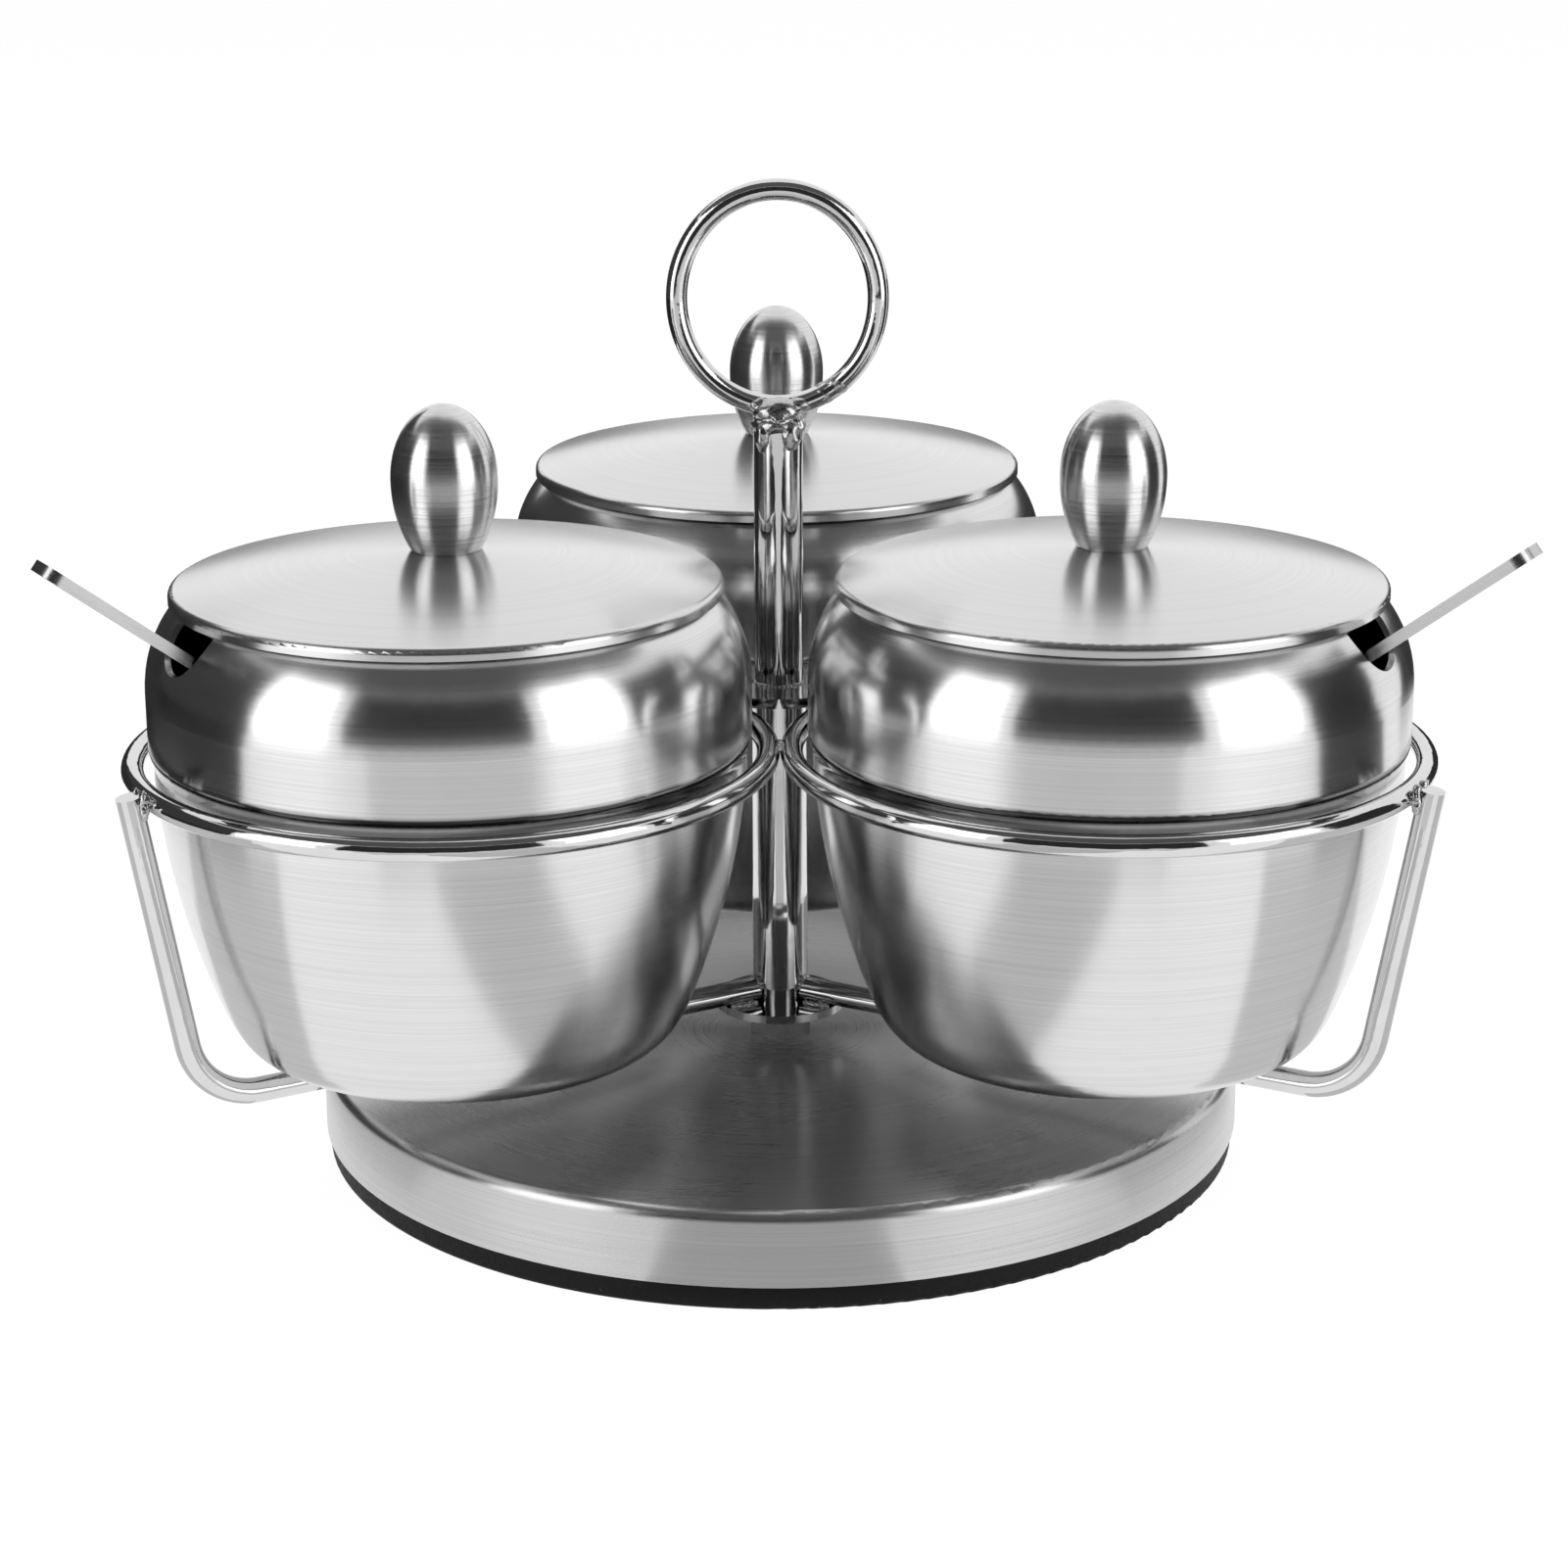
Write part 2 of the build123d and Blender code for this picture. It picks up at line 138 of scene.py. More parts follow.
# The belt that brushed it left lines about 0.15 mm apart. They are drawn 0.36 mm apart, and
# those of the pots, lids and knobs 0.26 to 0.32 mm, as finer ones don't show.
base_steel = brushed_steel(
    "stainless_steel_lathe_brushed", centre=(0, 0), light="#CFCFCF", dark="#BEBEBE",
    roughness=0.28, spread=0.06, anisotropy=0.82,
    line_width=0.36 * mm, line_length=70 * mm, groove_depth=0.0012 * mm)[0]
dress("base_cap", base_steel)

# Plain sheet. The stiffening disc and the bottom plate of the base, and the collar under each
# lid, are cold-rolled stainless as it comes from the mill: dull, with faint cloudy marks and
# straight rolling lines. They hardly show.
sides = ("rear", "left", "right")
cloud_size = 11.1 * mm
rolled_length = 16.7 * mm
rolled_width = 0.556 * mm
mill_sheet, tree = empty_material("stainless_sheet_mill_finish")
place = add(tree, "ShaderNodeTexCoord")
clouds = add(tree, "ShaderNodeTexNoise", None, Vector=place.outputs["Object"],
             Scale=1 / cloud_size, Detail=5.0, Roughness=0.65)
rolled = add(tree, "ShaderNodeVectorMath", {"operation": "MULTIPLY"},
             _0=place.outputs["Object"],
             _1=(1 / rolled_length, 1 / rolled_width, 1 / rolled_width))
roll_marks = add(tree, "ShaderNodeTexNoise", None, Vector=rolled.outputs[0],
                 Scale=1.0, Detail=2.0, Roughness=0.5)
tone = add(tree, "ShaderNodeMix", {"data_type": "RGBA"}, _0=clouds.outputs[0],
           _6=linear("#9D9D9D"), _7=linear("#BEBEBE"))
dull = add(tree, "ShaderNodeMapRange", None, Value=clouds.outputs[0],
           From_Min=noise_low, From_Max=noise_high, To_Min=0.34, To_Max=0.48)
rolling = add(tree, "ShaderNodeBump", None, Height=roll_marks.outputs[0],
              Strength=0.6, Distance=0.004 * mm)
shader = add(tree, "ShaderNodeBsdfPrincipled", None, Base_Color=tone.outputs[2],
             Metallic=1.0, Roughness=dull.outputs[0], Normal=rolling.outputs[0])
add(tree, "ShaderNodeOutputMaterial", Surface=shader.outputs[0])
dress("base_stiffener", mill_sheet)
dress("base_bottom_plate", mill_sheet)
for side in sides:
    dress("lid_collar_" + side, mill_sheet)

# Rubber ring under the base. Moulded black rubber, satin, with the fine grain of its mould
# and a few pale specks of dust that cling to it. The grain of the mould is about 0.1 mm, and
# is drawn coarser to show.
grain_size = 0.714 * mm
dust_spacing = 2.38 * mm
dusty_patch = 6.67 * mm
rubber, tree = empty_material("moulded_black_rubber")
place = add(tree, "ShaderNodeTexCoord")
grain = add(tree, "ShaderNodeTexNoise", None, Vector=place.outputs["Object"],
            Scale=1 / grain_size, Detail=2.0, Roughness=0.6)
dust = add(tree, "ShaderNodeTexVoronoi", {"feature": "F1"}, Vector=place.outputs["Object"],
           Scale=1 / dust_spacing)
speck = add(tree, "ShaderNodeMapRange", None, Value=dust.outputs["Distance"],
            From_Min=0.10, From_Max=0.06)
patches = add(tree, "ShaderNodeTexNoise", None, Vector=place.outputs["Object"],
              Scale=1 / dusty_patch)
in_patch = add(tree, "ShaderNodeMapRange", None, Value=patches.outputs[0],
               From_Min=0.50, From_Max=0.62)
dusty = add(tree, "ShaderNodeMath", {"operation": "MULTIPLY"},
            _0=speck.outputs[0], _1=in_patch.outputs[0])
rubber_colour = add(tree, "ShaderNodeMix", {"data_type": "RGBA"}, _0=dusty.outputs[0],
                    _6=linear("#060606"), _7=linear("#616161"))
rubber_rough = add(tree, "ShaderNodeMapRange", None, Value=grain.outputs[0],
                   From_Min=noise_low, From_Max=noise_high, To_Min=0.50, To_Max=0.66)
pimples = add(tree, "ShaderNodeBump", None, Height=grain.outputs[0],
              Strength=0.7, Distance=0.06 * mm)
shader = add(tree, "ShaderNodeBsdfPrincipled", None, Base_Color=rubber_colour.outputs[2],
             Roughness=rubber_rough.outputs[0], Specular_IOR_Level=0.2,
             Normal=pimples.outputs[0])
add(tree, "ShaderNodeOutputMaterial", Surface=shader.outputs[0])
dress("base_foot_ring", rubber)

# Pivot bolt, washer and nut, and the screws that hold the knobs. All are turned from bright
# stainless bar, so fine rings run round them and the metal is darker than the brushed sheet.
turned_length = 8.33 * mm
turned_width = 0.3125 * mm
bar_steel, tree = empty_material("stainless_bar_turned_bright")
place = add(tree, "ShaderNodeTexCoord")
lathe = add(tree, "ShaderNodeVectorMath", {"operation": "MULTIPLY"},
            _0=place.outputs["Object"],
            _1=(1 / turned_length, 1 / turned_length, 1 / turned_width))
lathe_marks = add(tree, "ShaderNodeTexNoise", None, Vector=lathe.outputs[0],
                  Scale=1.0, Detail=3.0, Roughness=0.6)
tone = add(tree, "ShaderNodeMix", {"data_type": "RGBA"}, _0=lathe_marks.outputs[0],
           _6=linear("#7E7E7E"), _7=linear("#ABABAB"))
bright = add(tree, "ShaderNodeMapRange", None, Value=lathe_marks.outputs[0],
             From_Min=noise_low, From_Max=noise_high, To_Min=0.15, To_Max=0.28)
turned = add(tree, "ShaderNodeBump", None, Height=lathe_marks.outputs[0],
             Strength=0.8, Distance=0.006 * mm)
shader = add(tree, "ShaderNodeBsdfPrincipled", None, Base_Color=tone.outputs[2],
             Metallic=1.0, Roughness=bright.outputs[0], Normal=turned.outputs[0])
add(tree, "ShaderNodeOutputMaterial", Surface=shader.outputs[0])
for node in ("pivot_bolt", "pivot_washer", "pivot_nut"):
    dress(node, bar_steel)
for side in sides:
    dress("knob_screw_" + side, bar_steel)

# Rack. Drawn stainless wire for the hoops, legs and ring, tube and rod for the column, all
# buffed after welding. Buffing leaves the metal bright but not flat, so reflections wander,
# and it leaves short hairline scratches.
wave_length = 5.88 * mm
hairline_spacing = 2.38 * mm
smudge_size = 16.7 * mm
buffed_steel, tree = empty_material("stainless_wire_buffed")
place = add(tree, "ShaderNodeTexCoord")
waviness = add(tree, "ShaderNodeTexNoise", None, Vector=place.outputs["Object"],
               Scale=1 / wave_length, Detail=2.0, Roughness=0.5)
hairlines = add(tree, "ShaderNodeTexNoise", {"noise_type": "RIDGED_MULTIFRACTAL"},
                Vector=place.outputs["Object"], Scale=1 / hairline_spacing,
                Detail=4.0, Roughness=0.6, Distortion=0.4)
smudges = add(tree, "ShaderNodeTexNoise", None, Vector=place.outputs["Object"],
              Scale=1 / smudge_size, Detail=4.0, Roughness=0.65)
tone = add(tree, "ShaderNodeMix", {"data_type": "RGBA"}, _0=smudges.outputs[0],
           _6=linear("#CBCBCB"), _7=linear("#E4E4E4"))
polish = add(tree, "ShaderNodeMapRange", None, Value=smudges.outputs[0],
             From_Min=noise_low, From_Max=0.75, To_Min=0.04, To_Max=0.11)
uneven = add(tree, "ShaderNodeBump", None, Height=waviness.outputs[0],
             Strength=1.0, Distance=0.1 * mm)
scratched = add(tree, "ShaderNodeBump", None, Height=hairlines.outputs[0],
                Strength=0.5, Distance=0.005 * mm, Normal=uneven.outputs[0])
shader = add(tree, "ShaderNodeBsdfPrincipled", None, Base_Color=tone.outputs[2],
             Metallic=1.0, Roughness=polish.outputs[0], Normal=scratched.outputs[0])
add(tree, "ShaderNodeOutputMaterial", Surface=shader.outputs[0])
for node in ("hub_washer", "column_lower", "top_plate", "column_upper", "handle_ring"):
    dress(node, buffed_steel)
for side in sides:
    dress("hoop_" + side, buffed_steel)
    dress("cradle_leg_" + side, buffed_steel)

# Weld beads of the rack. Short runs of filler metal where wires, washer, plate and rod meet,
# laid by hand and only lightly buffed, so each is lumpy, with ripples and drips, and glints
# in spots.
ripple_size = 1.11 * mm
weld_metal, tree = empty_material("stainless_weld_as_laid")
place = add(tree, "ShaderNodeTexCoord")
ripples = add(tree, "ShaderNodeTexNoise", None, Vector=place.outputs["Object"],
              Scale=1 / ripple_size, Detail=3.0, Roughness=0.6)
weld_tone = add(tree, "ShaderNodeMix", {"data_type": "RGBA"}, _0=ripples.outputs[0],
                _6=linear("#9A9A9A"), _7=linear("#DADADA"))
weld_rough = add(tree, "ShaderNodeMapRange", None, Value=ripples.outputs[0],
                 From_Min=noise_low, From_Max=noise_high, To_Min=0.12, To_Max=0.34)
rippled = add(tree, "ShaderNodeBump", None, Height=ripples.outputs[0],
              Strength=0.8, Distance=0.1 * mm)
shader = add(tree, "ShaderNodeBsdfPrincipled", None, Base_Color=weld_tone.outputs[2],
             Metallic=1.0, Roughness=weld_rough.outputs[0], Normal=rippled.outputs[0])
add(tree, "ShaderNodeOutputMaterial", Surface=shader.outputs[0])

# Without a seed of its own, this noise would differ in each run.
noise.seed_set(1)


def weld(name, drops):
    """Fuse drops of filler metal, each a middle and three half sizes, into one bead."""
    lumps_per_metre = 900
    lump_height = 0.22 * mm
    fused_voxel = 0.16 * mm
    pool = bmesh.new()
    for middle, half_sizes in drops:
        placed = Matrix.Translation(middle) @ Matrix.Diagonal((*half_sizes, 1))
        bmesh.ops.create_icosphere(pool, subdivisions=3, radius=1.0, matrix=placed)
    for corner in pool.verts:
        corner.co += lump_height * noise.noise_vector(corner.co * lumps_per_metre)
    mesh = bpy.data.meshes.new(name)
    pool.to_mesh(mesh)
    pool.free()
    piece = bpy.data.objects.new(name, mesh)
    bpy.context.scene.collection.objects.link(piece)
    fuse = piece.modifiers.new("fuse", "REMESH")
    fuse.mode = "VOXEL"
    fuse.voxel_size = fused_voxel
    settle = piece.modifiers.new("settle", "SMOOTH")
    settle.iterations = 3
    seen = piece.evaluated_get(bpy.context.evaluated_depsgraph_get())
    fused = bpy.data.meshes.new_from_object(seen)
    piece.modifiers.clear()
    piece.data = fused
    for face in fused.polygons:
        face.use_smooth = True
    fused.materials.clear()
    fused.materials.append(weld_metal)
    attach(piece, "rack")


def run(start, end, radius, count, seed, sag=(0, 0, 0)):
    """Drops laid one after another along a short line, with a hand's unevenness."""
    uneven, wander, flatten, thin_end = 0.22, 0.15, 0.20, 0.80
    drops = []
    for i in range(count):
        along = i / (count - 1)
        swell = 4 * along * (1 - along)
        middle = Vector(start).lerp(Vector(end), along) + swell * Vector(sag)
        shake = noise.noise_vector(Vector((seed, i * 1.7, seed * 0.3)))
        size = radius * (1 + uneven * shake.x) * (thin_end + (1 - thin_end) * swell)
        half_sizes = (size, size * (1 + flatten * shake.y), size)
        drops.append((middle + wander * radius * shake, half_sizes))
    return drops


def away(azimuth, reach, height, sideways=0):
    """A point at an angle round the column, in degrees from +X, moved sideways."""
    angle = math.radians(azimuth)
    return (reach * math.cos(angle) - sideways * math.sin(angle),
            reach * math.sin(angle) + sideways * math.cos(angle), height)


# A pot lifts outwards, so the way it lifts gives its station's direction from the column.
ways = {joint["name"]: Vector(joint["axis"]) for joint in frame["joints"]}
stations = {}
for side in sides:
    lift = ways[side + "_pot_lift"]
    stations[side] = math.degrees(math.atan2(lift.y, lift.x)) % 360

# Each hoop lies under the rim of the top plate, and touches its neighbours halfway between
# their stations. A leg's top stands against the hoop's outer side, and its arm on the washer.
hoop_low, hoop_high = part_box("hoop_rear")
hoop_near, hoop_far = hoop_low.y, hoop_high.y
hoop_level = (hoop_low.z + hoop_high.z) / 2
half_step = 180 / len(sides)
hoops_touch = (hoop_near + hoop_far) / 2 * math.cos(math.radians(half_step))
plate_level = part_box("top_plate")[0].z
leg_wire = 4.5 * mm
arm_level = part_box("hub_washer")[1].z + leg_wire / 2
for side, azimuth in stations.items():
    reach, height, half = hoop_near - 0.1 * mm, plate_level - 0.7 * mm, 4.2 * mm
    weld("weld_plate_to_hoop_" + side,
         run(away(azimuth, reach, height, -half), away(azimuth, reach, height, half),
             radius=0.85 * mm, count=10, seed=azimuth))
    for mark, hand in (("a", -1), ("b", 1)):
        foot = away(azimuth, hoop_far + 0.5 * mm, hoop_level - 1.8 * mm, 2.0 * mm * hand)
        head = away(azimuth, hoop_far + 0.4 * mm, hoop_level + 1.7 * mm, 1.5 * mm * hand)
        weld("weld_leg_to_hoop_" + side + "_" + mark,
             run(foot, head, radius=1.0 * mm, count=6, seed=azimuth + hand))
    reach, height, half = 5.4 * mm, arm_level + 0.6 * mm, 2.1 * mm
    weld("weld_leg_to_column_" + side,
         run(away(azimuth, reach, height, -half), away(azimuth, reach, height, half),
             radius=0.6 * mm, count=8, seed=azimuth + 5, sag=(0, 0, 1.6 * mm)))
    for mark, hand in (("a", -1), ("b", 1)):
        inner = away(azimuth, 6.4 * mm, arm_level - 2.1 * mm, 1.9 * mm * hand)
        outer = away(azimuth, 11.2 * mm, arm_level - 2.1 * mm, 1.8 * mm * hand)
        weld("weld_leg_to_washer_" + side + "_" + mark,
             run(inner, outer, radius=0.6 * mm, count=9, seed=azimuth + 9 * hand))
    between, height = azimuth + half_step, hoop_level + 1.0 * mm
    weld("weld_hoops_" + side,
         run(away(between, hoops_touch - 3.0 * mm, height),
             away(between, hoops_touch + 3.4 * mm, height),
             radius=0.62 * mm, count=10, seed=azimuth + 3))

# The ring stands in a blob of filler on the rod's end, with ears up the wire and two drips.
# The drops' middles are measured in mm from the middle of the rod's end.
rod_end = Vector((0, 0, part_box("column_upper")[1].z))
blob = [
    ((0.0, -1.0, 1.0), (4.6, 3.4, 2.7)),
    ((-0.2, -0.6, -1.3), (4.75, 4.5, 2.3)),
    ((-3.4, -0.7, 2.2), (2.0, 1.9, 1.5)),
    ((3.8, -0.6, 2.3), (2.4, 2.0, 1.5)),
    ((-2.7, -3.3, -3.2), (1.5, 1.4, 3.0)),
    ((2.2, -3.6, -2.9), (2.0, 1.4, 2.9)),
    ((3.9, -1.4, -1.9), (1.1, 1.6, 2.4)),
    ((0.2, -3.4, 0.2), (1.5, 1.5, 1.2)),
    ((-3.6, 1.5, -2.2), (1.3, 1.5, 2.0)),
    ((0.0, 2.6, -0.4), (3.9, 2.6, 2.8)),
    ((1.6, 3.5, -3.0), (1.6, 1.3, 2.4)),
]
weld("weld_ring_to_rod",
     [(rod_end + mm * Vector(middle), mm * Vector(half_sizes)) for middle, half_sizes in blob])

# The ring's two ends are butt-welded low on its right side, which leaves a rough sleeve just
# thicker than the wire. Its angles are in degrees round the ring from the right side up.
ring_low, ring_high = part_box("handle_ring")
ring_middle = (ring_low + ring_high) / 2
ring_half = (ring_high - ring_low) / 2
ring_wire_radius = ring_half.y
sleeve_from, sleeve_to, sleeve_step = -64, -48, 2
sleeve_swell, sleeve_uneven = 1.02, 0.06
sleeve = []
for turn in range(sleeve_from, sleeve_to, sleeve_step):
    shake = noise.noise_vector(Vector((turn * 0.37, 2, 1)))
    size = ring_wire_radius * (sleeve_swell + sleeve_uneven * shake.x)
    angle = math.radians(turn)
    middle = Vector((ring_middle.x + (ring_half.x - ring_wire_radius) * math.cos(angle),
                     0.1 * mm * shake.y,
                     ring_middle.z + (ring_half.z - ring_wire_radius) * math.sin(angle)))
    sleeve.append((middle, (size, size, size)))
weld("weld_ring_ends", sleeve)

# The plate is welded thinly round the rod's foot.
foot_reach = 4.55 * mm
foot_height = plate_level + 1.9 * mm
foot_radius = 0.34 * mm
foot_step = 8
foot_uneven = 0.3
foot_bead = []
for turn in range(0, 360, foot_step):
    shake = noise.noise_vector(Vector((turn * 0.37, 5, 1)))
    size = foot_radius * (1 + foot_uneven * shake.x)
    foot_bead.append((Vector(away(turn, foot_reach, foot_height)), (size, size, size)))
weld("weld_rod_to_plate", foot_bead)

# Pots. Deep-drawn stainless shells. The barrel and the bowl were brushed on a wheel as the
# pot turned; the fold between them was left polished, and its darker colour is painted shade
# in the crease. The fold lies between two heights over the table.
fold_low, fold_high = 83.8 * mm, 88.2 * mm
fold_edge = 0.8 * mm
# The fold's grey is painted shade in the crease, not a tone of the steel.
fold_painted_shade = "#909090"
fold_roughness = 0.10

# A lid is round and shares its pot's axis, so its box gives the pot's centre.
pot_centres = {}
for side in sides:
    low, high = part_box("lid_" + side)
    pot_centres[side] = ((low.x + high.x) / 2, (low.y + high.y) / 2)
    steel, tree, shader, place = brushed_steel(
        "stainless_pot_wheel_brushed_" + side, pot_centres[side], light="#E4E4E4", dark="#D6D6D6",
        roughness=0.20, spread=0.06, anisotropy=0.80,
        line_width=0.28 * mm, line_length=90 * mm, groove_depth=0.0006 * mm)
    height = add(tree, "ShaderNodeSeparateXYZ", None, Vector=place)
    above = add(tree, "ShaderNodeMapRange", None, Value=height.outputs[2],
                From_Min=fold_low, From_Max=fold_low + fold_edge)
    under = add(tree, "ShaderNodeMapRange", None, Value=height.outputs[2],
                From_Min=fold_high, From_Max=fold_high - fold_edge)
    fold = add(tree, "ShaderNodeMath", {"operation": "MULTIPLY"},
               _0=above.outputs[0], _1=under.outputs[0])
    brushed_rough = shader.inputs["Roughness"].links[0].from_socket
    rough = add(tree, "ShaderNodeMix", {"data_type": "FLOAT"},
                _0=fold.outputs[0], _2=brushed_rough, _3=fold_roughness)
    tree.links.new(rough.outputs[0], shader.inputs["Roughness"])
    brushed_colour = shader.inputs["Base Color"].links[0].from_socket
    # Inside the fold the steel's colour is darkened to the painted shade.
    tone = add(tree, "ShaderNodeMix", {"data_type": "RGBA"}, _0=fold.outputs[0],
               _6=brushed_colour, _7=linear(fold_painted_shade))
    tree.links.new(tone.outputs[2], shader.inputs["Base Color"])
    dress("pot_" + side, steel)

# Lids. Shallow domes pressed from 0.8 mm sheet, with a turned-down lip. The dome is finished
# with a soft mop in circles, finer than the pots, and gives broad satin fans of light.
for side, centre in pot_centres.items():
    steel = brushed_steel(
        "stainless_lid_satin_" + side, centre, light="#E0E0E0", dark="#D8D8D8",
        roughness=0.24, spread=0.04, anisotropy=0.78,
        line_width=0.26 * mm, line_length=90 * mm, groove_depth=0.0003 * mm)[0]
    dress("lid_" + side, steel)

# Knobs. Solid eggs turned from bar and brushed in the lathe with a coarser cloth, so each has
# rings round it and one bright streak from foot to top.
for side, centre in pot_centres.items():
    steel = brushed_steel(
        "stainless_knob_turned_brushed_" + side, centre, light="#E6E6E6", dark="#CACACA",
        roughness=0.24, spread=0.10, anisotropy=0.84,
        line_width=0.32 * mm, line_length=30 * mm, groove_depth=0.0024 * mm)[0]
    dress("knob_" + side, steel)

# Spoons. Blanked from 2 mm strip, the bowl pressed into it, then barrel-polished, which rounds
# and brightens the cut edges and leaves fine lengthwise lines on the handle. The lines are
# drawn about four times as wide as they are, to show.
spoon_line_length = 11.1 * mm
spoon_line_width = 0.385 * mm
for side in sides:
    along = ways[side + "_spoon_draw"]
    across = Vector((-along.y, along.x, 0)).normalized()
    strip_steel, tree = empty_material("stainless_strip_tumbled_" + side)
    place = add(tree, "ShaderNodeTexCoord")
    lengthwise = add(tree, "ShaderNodeVectorMath", {"operation": "DOT_PRODUCT"},
                     _0=place.outputs["Object"], _1=along)
    sideways = add(tree, "ShaderNodeVectorMath", {"operation": "DOT_PRODUCT"},
                   _0=place.outputs["Object"], _1=across)
    through = add(tree, "ShaderNodeVectorMath", {"operation": "DOT_PRODUCT"},
                  _0=place.outputs["Object"], _1=along.cross(across))
    strip_place = add(tree, "ShaderNodeCombineXYZ", None, X=lengthwise.outputs["Value"],
                      Y=sideways.outputs["Value"], Z=through.outputs["Value"])
    drawn_out = add(tree, "ShaderNodeVectorMath", {"operation": "MULTIPLY"},
                    _0=strip_place.outputs[0],
                    _1=(1 / spoon_line_length, 1 / spoon_line_width, 1 / spoon_line_width))
    lines = add(tree, "ShaderNodeTexNoise", None, Vector=drawn_out.outputs[0],
                Scale=1.0, Detail=3.0, Roughness=0.6)
    tone = add(tree, "ShaderNodeMix", {"data_type": "RGBA"}, _0=lines.outputs[0],
               _6=linear("#B4B4B4"), _7=linear("#D2D2D2"))
    satin = add(tree, "ShaderNodeMapRange", None, Value=lines.outputs[0],
                From_Min=noise_low, From_Max=noise_high, To_Min=0.18, To_Max=0.30)
    drawn = add(tree, "ShaderNodeBump", None, Height=lines.outputs[0],
                Strength=0.7, Distance=0.004 * mm)
    shader = add(tree, "ShaderNodeBsdfPrincipled", None, Base_Color=tone.outputs[2],
                 Metallic=1.0, Roughness=satin.outputs[0], Normal=drawn.outputs[0])
    add(tree, "ShaderNodeOutputMaterial", Surface=shader.outputs[0])
    dress("spoon_" + side, strip_steel)


# Studio. A pale table top in a white room, with soft boxes beside the camera and overhead.
# Cards that only the steel can see stand round it: dark ones give its dark bands, two bright
# panels its long highlights, and grey ones on the table the soft shade low on the pots.
def seen_directly(tree):
    """1 for what the camera sees, straight or in metal or through glass, and 0 for light."""
    path = add(tree, "ShaderNodeLightPath")
    metal = add(tree, "ShaderNodeMath", {"operation": "MAXIMUM"},
                _0=path.outputs["Is Camera Ray"], _1=path.outputs["Is Glossy Ray"])
    glass = add(tree, "ShaderNodeMath", {"operation": "MAXIMUM"},
                _0=metal.outputs[0], _1=path.outputs["Is Transmission Ray"])
    return glass.outputs[0]


# Seen directly the room is pure white, and as a light it is dimmer.
world = bpy.data.worlds.new("white_room")
bpy.context.scene.world = world
world.use_nodes = True
room = world.node_tree
room.nodes.clear()
room_light = add(room, "ShaderNodeBackground", Color=linear("#F5F5F5"), Strength=0.45)
room_white = add(room, "ShaderNodeBackground", Color=(1, 1, 1, 1), Strength=1.0)
room_mix = add(room, "ShaderNodeMixShader", Fac=seen_directly(room),
               _1=room_light.outputs[0], _2=room_white.outputs[0])
add(room, "ShaderNodeOutputWorld", Surface=room_mix.outputs[0])

# Seen directly, the table glows nearly white, and a trace of matt keeps the object's shadow.
table_half = 6
table_paint, tree = empty_material("table_top_matt_white_laminate")
table_matt = add(tree, "ShaderNodeBsdfDiffuse", Color=linear("#EAEAEA"))
table_trace = add(tree, "ShaderNodeBsdfDiffuse", Color=(0.07, 0.07, 0.07, 1))
table_glow = add(tree, "ShaderNodeEmission", Color=(1, 1, 1, 1), Strength=0.96)
table_seen = add(tree, "ShaderNodeAddShader",
                 _0=table_trace.outputs[0], _1=table_glow.outputs[0])
table_mix = add(tree, "ShaderNodeMixShader", Fac=seen_directly(tree),
                _1=table_matt.outputs[0], _2=table_seen.outputs[0])
add(tree, "ShaderNodeOutputMaterial", Surface=table_mix.outputs[0])
table_mesh = bpy.data.meshes.new("table_top")
table_corners = [(-table_half, -table_half, 0), (table_half, -table_half, 0),
                 (table_half, table_half, 0), (-table_half, table_half, 0)]
table_mesh.from_pydata(table_corners, [], [(0, 1, 2, 3)])
table_mesh.materials.append(table_paint)
table_top = bpy.data.objects.new("table_top", table_mesh)
bpy.context.scene.collection.objects.link(table_top)

studio_reach = 1.1


def around(azimuth, reach, height):
    """A point round the object; azimuth 0 is the camera's side, and it grows to the right."""
    angle = math.radians(azimuth)
    return (reach * math.sin(angle), -reach * math.cos(angle), height)


def arc(start, end, reach, height, steps=8):
    """Points round the object at one height, from one azimuth to another."""
    return [around(start + (end - start) * i / steps, reach, height) for i in range(steps + 1)]


def card(name, shade, corners):
    """A flat studio card, seen only in the steel; 1 is white, and above it the card shines."""
    paint, tree = empty_material(name + "_card")
    glow = add(tree, "ShaderNodeEmission", Color=(shade, shade, shade, 1), Strength=1.0)
    add(tree, "ShaderNodeOutputMaterial", Surface=glow.outputs[0])
    mesh = bpy.data.meshes.new(name)
    mesh.from_pydata(corners, [], [tuple(range(len(corners)))])
    mesh.materials.append(paint)
    panel = bpy.data.objects.new(name, mesh)
    bpy.context.scene.collection.objects.link(panel)
    for ray in ("camera", "diffuse", "transmission", "shadow", "volume_scatter"):
        setattr(panel, "visible_" + ray, False)


def upright_card(name, shade, start, end, low, high, reach=studio_reach):
    """A card that stands round the object from one azimuth to another."""
    card(name, shade, arc(start, end, reach, low) + arc(end, start, reach, high))


def slanted_card(name, shade, start, end, height, top):
    """A card that leans in from the upright ones to a point over the object."""
    card(name, shade, [(0, 0, top)] + arc(start, end, studio_reach, height, steps=12))


def table_card(name, shade, start, end, near, far=studio_reach):
    """A card that lies on the table from one azimuth to another."""
    card(name, shade, arc(start, end, near, 1 * mm) + arc(end, start, far, 1 * mm))


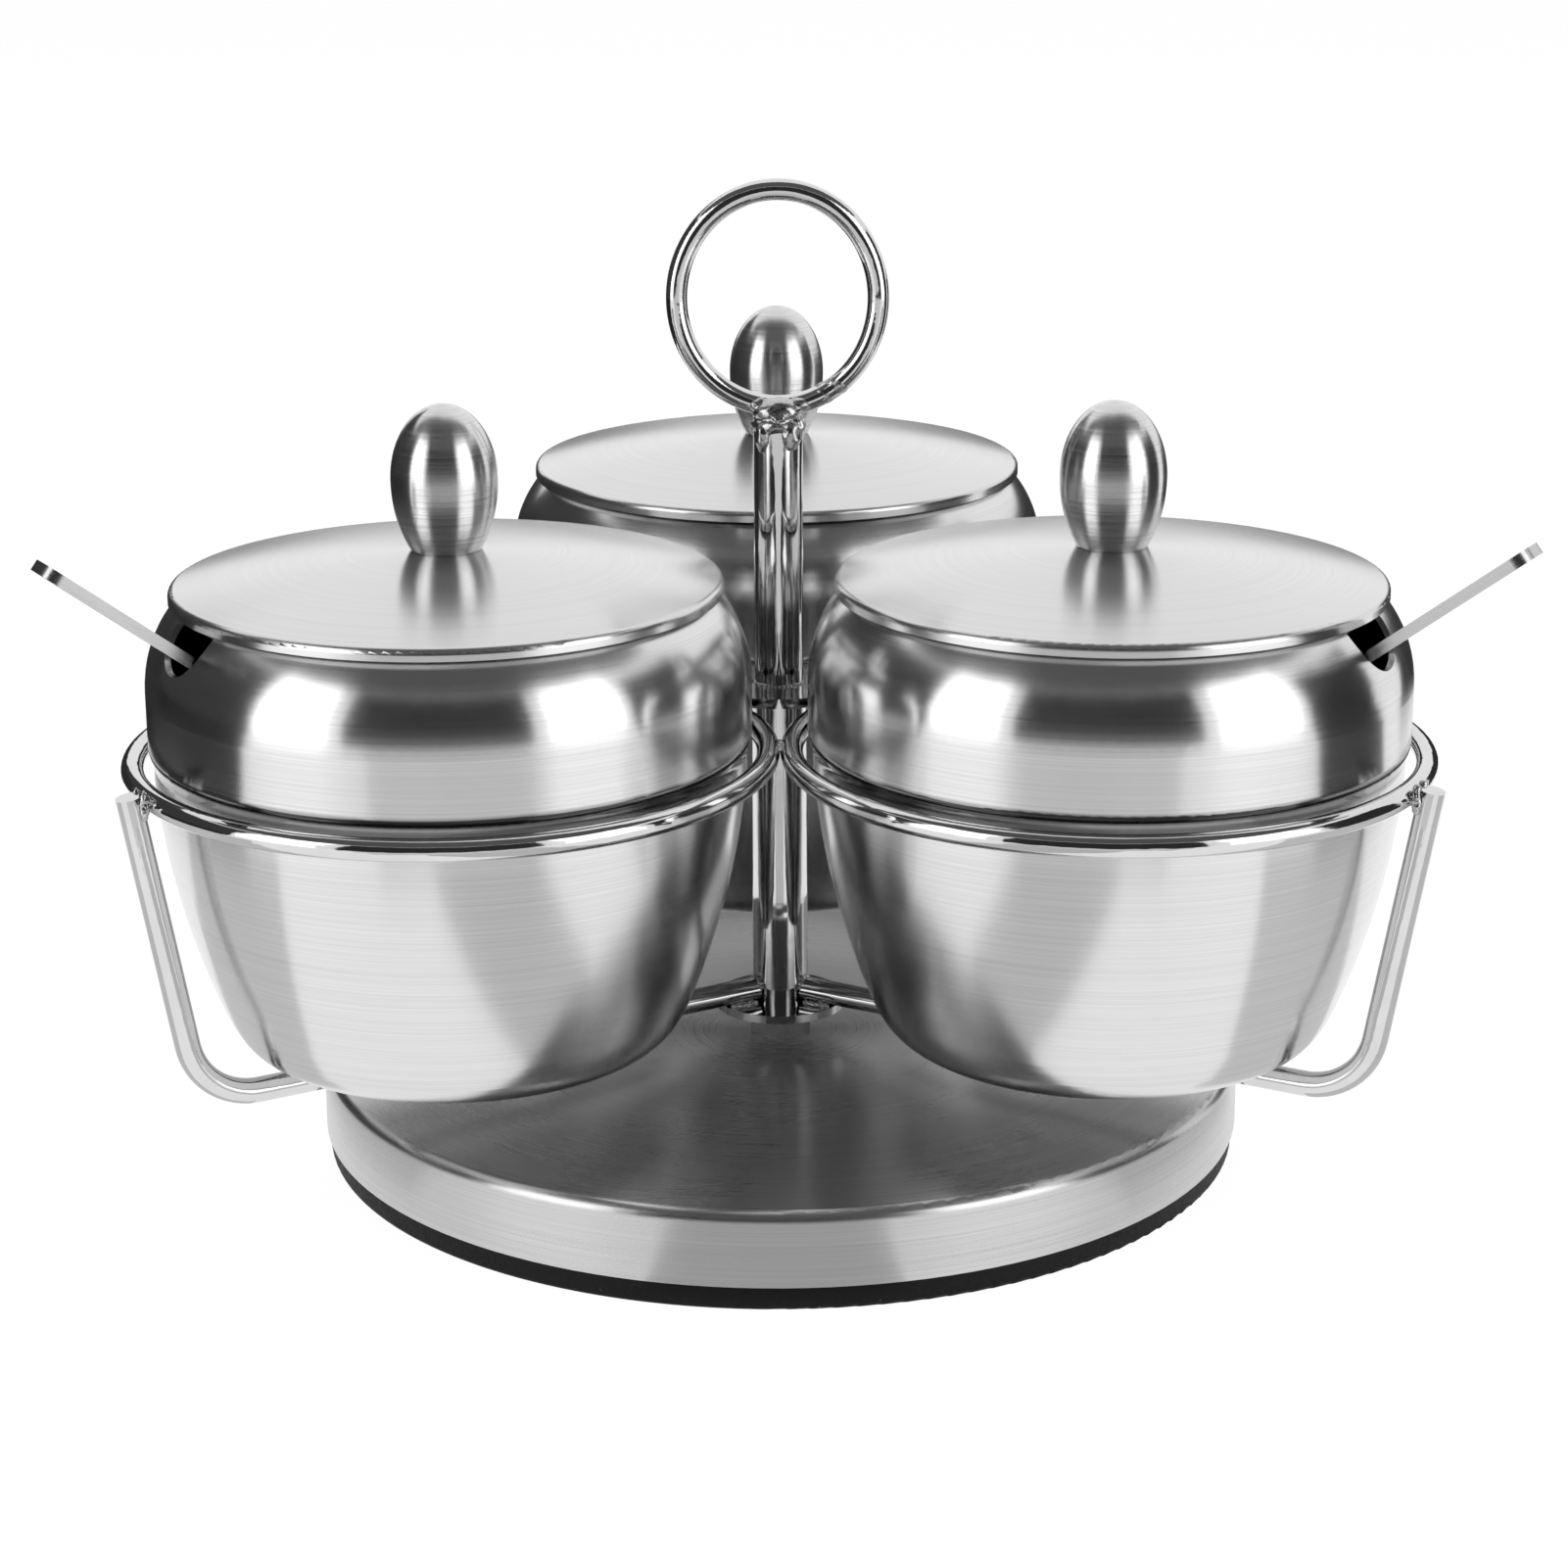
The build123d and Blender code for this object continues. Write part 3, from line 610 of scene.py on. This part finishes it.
upright_card("card_behind_camera", shade=0.03, start=-36, end=31, low=0, high=0.95)
table_card("card_before_camera", shade=0.75, start=-30, end=26, near=0.24)
table_card("card_near_front", shade=0.60, start=-17, end=15, near=0.088, far=0.24)
table_card("card_near_left", shade=0.66, start=-100, end=-60, near=0.10, far=0.30)
table_card("card_near_right", shade=0.66, start=54, end=95, near=0.10, far=0.30)
upright_card("soft_box_left_front", shade=2.2, start=-70, end=-42, low=0, high=1.0)
upright_card("soft_box_right_front", shade=2.2, start=37, end=68, low=0, high=1.0)
slanted_card("card_overhead", shade=0.10, start=-110, end=105, height=0.98, top=1.30)
upright_card("card_far_side", shade=0.03, start=118, end=242, low=0, high=0.15, reach=0.40)
upright_card("card_left", shade=0.05, start=-150, end=-72, low=0, high=0.9)
table_card("card_left_table", shade=0.02, start=-150, end=-72, near=0.30)
upright_card("card_right", shade=0.03, start=72, end=105, low=0, high=0.7)
table_card("card_right_table", shade=0.03, start=72, end=105, near=0.30)


def soft_box(name, azimuth, reach, height, wide, tall, power):
    """A soft box that faces the object's middle and isn't itself seen in the steel."""
    lamp = bpy.data.lights.new(name, "AREA")
    lamp.shape = "RECTANGLE"
    lamp.size = wide
    lamp.size_y = tall
    lamp.energy = power
    holder = bpy.data.objects.new(name, lamp)
    bpy.context.scene.collection.objects.link(holder)
    holder.location = around(azimuth, reach, height)
    holder.visible_glossy = False
    object_middle = Vector((0, 0, 0.09))
    aim = object_middle - holder.location
    holder.rotation_mode = "QUATERNION"
    holder.rotation_quaternion = aim.to_track_quat("-Z", "Y")


soft_box("soft_box_left", azimuth=-54, reach=1.2, height=0.45, wide=0.55, tall=1.0, power=9)
soft_box("soft_box_right", azimuth=51, reach=1.2, height=0.45, wide=0.55, tall=1.0, power=9)
soft_box("soft_box_top", azimuth=180, reach=0.15, height=1.5, wide=1.1, tall=1.1, power=12)

# Camera. A long lens a little above the lids, turned as the photograph was taken.
camera = bpy.data.cameras.new("camera")
camera.sensor_width = 36
camera.lens = 84.05
camera.clip_start = 0.02
camera.clip_end = 30
camera_holder = bpy.data.objects.new("camera", camera)
bpy.context.scene.collection.objects.link(camera_holder)
camera_place = Vector((-0.00262, -0.65364, 0.26588))
camera_pitch, camera_yaw, camera_roll = 0.2948, 0.0053, -0.0039
ahead = Vector((math.sin(camera_yaw) * math.cos(camera_pitch),
                math.cos(camera_yaw) * math.cos(camera_pitch), -math.sin(camera_pitch)))
right = Vector((math.cos(camera_yaw), -math.sin(camera_yaw), 0))
up = right.cross(ahead)
rolled_right = right * math.cos(camera_roll) + up * math.sin(camera_roll)
rolled_up = up * math.cos(camera_roll) - right * math.sin(camera_roll)
camera_turn = Matrix((rolled_right, rolled_up, -ahead)).transposed().to_4x4()
camera_holder.matrix_world = Matrix.Translation(camera_place) @ camera_turn
bpy.context.scene.camera = camera_holder
bpy.context.scene.view_settings.view_transform = "Standard"
